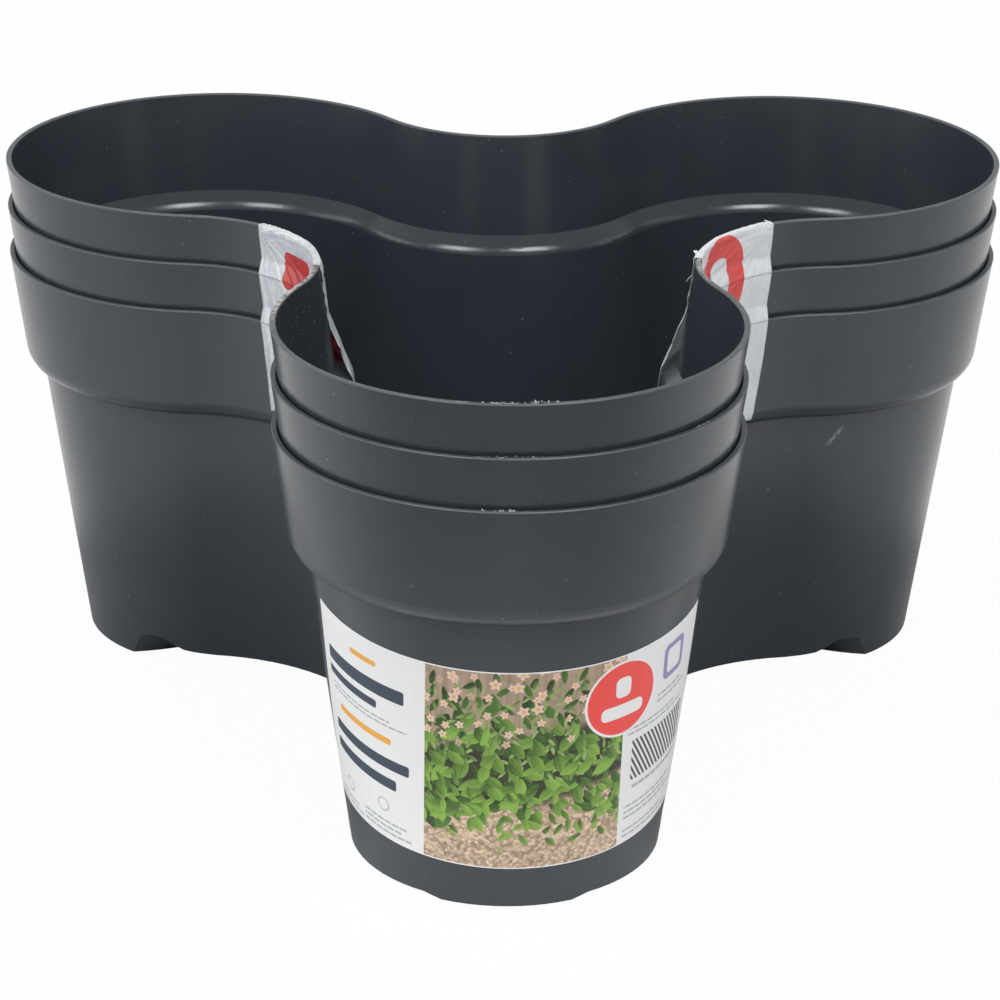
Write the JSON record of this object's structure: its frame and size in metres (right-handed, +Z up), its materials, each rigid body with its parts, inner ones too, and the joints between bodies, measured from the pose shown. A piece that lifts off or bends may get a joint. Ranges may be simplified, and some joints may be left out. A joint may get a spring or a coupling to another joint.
{
  "type": "tiered planter",
  "caption": "Stacking planter: trefoil moulded plastic tiers with a stepped collar, nested in one another, with a paper label round the front lobe and film tape over the front waists.",
  "frame": {"origin": "on the floor, below the middle of the nest's box", "axes": "+Z up, -Y towards the labelled front lobe, +X to the right of someone who faces the label"},
  "size_m": [0.3518, 0.3246, 0.1793],
  "materials": {
    "tier_plastic": "satin moulded anthracite",
    "label_paper": "smooth coated paper",
    "tape_film": "thin glossy film"
  },
  "bodies": {
    "bottom": {"bottom_tier": "tier_plastic", "front_label": "label_paper", "left_tape_bottom": "tape_film", "right_tape_bottom": "tape_film"},
    "middle": {"middle_tier": "tier_plastic", "left_tape_middle": "tape_film", "right_tape_middle": "tape_film"},
    "top": {"top_tier": "tier_plastic", "left_tape_top": "tape_film", "right_tape_top": "tape_film"}
  },
  "joints": [
    {"name": "middle_lift", "type": "slide", "parent": "bottom", "child": "middle", "axis": [0, 0, 1], "range_m": [0, 0.135]},
    {"name": "top_lift", "type": "slide", "parent": "middle", "child": "top", "axis": [0, 0, 1], "range_m": [0, 0.135]}
  ]
}
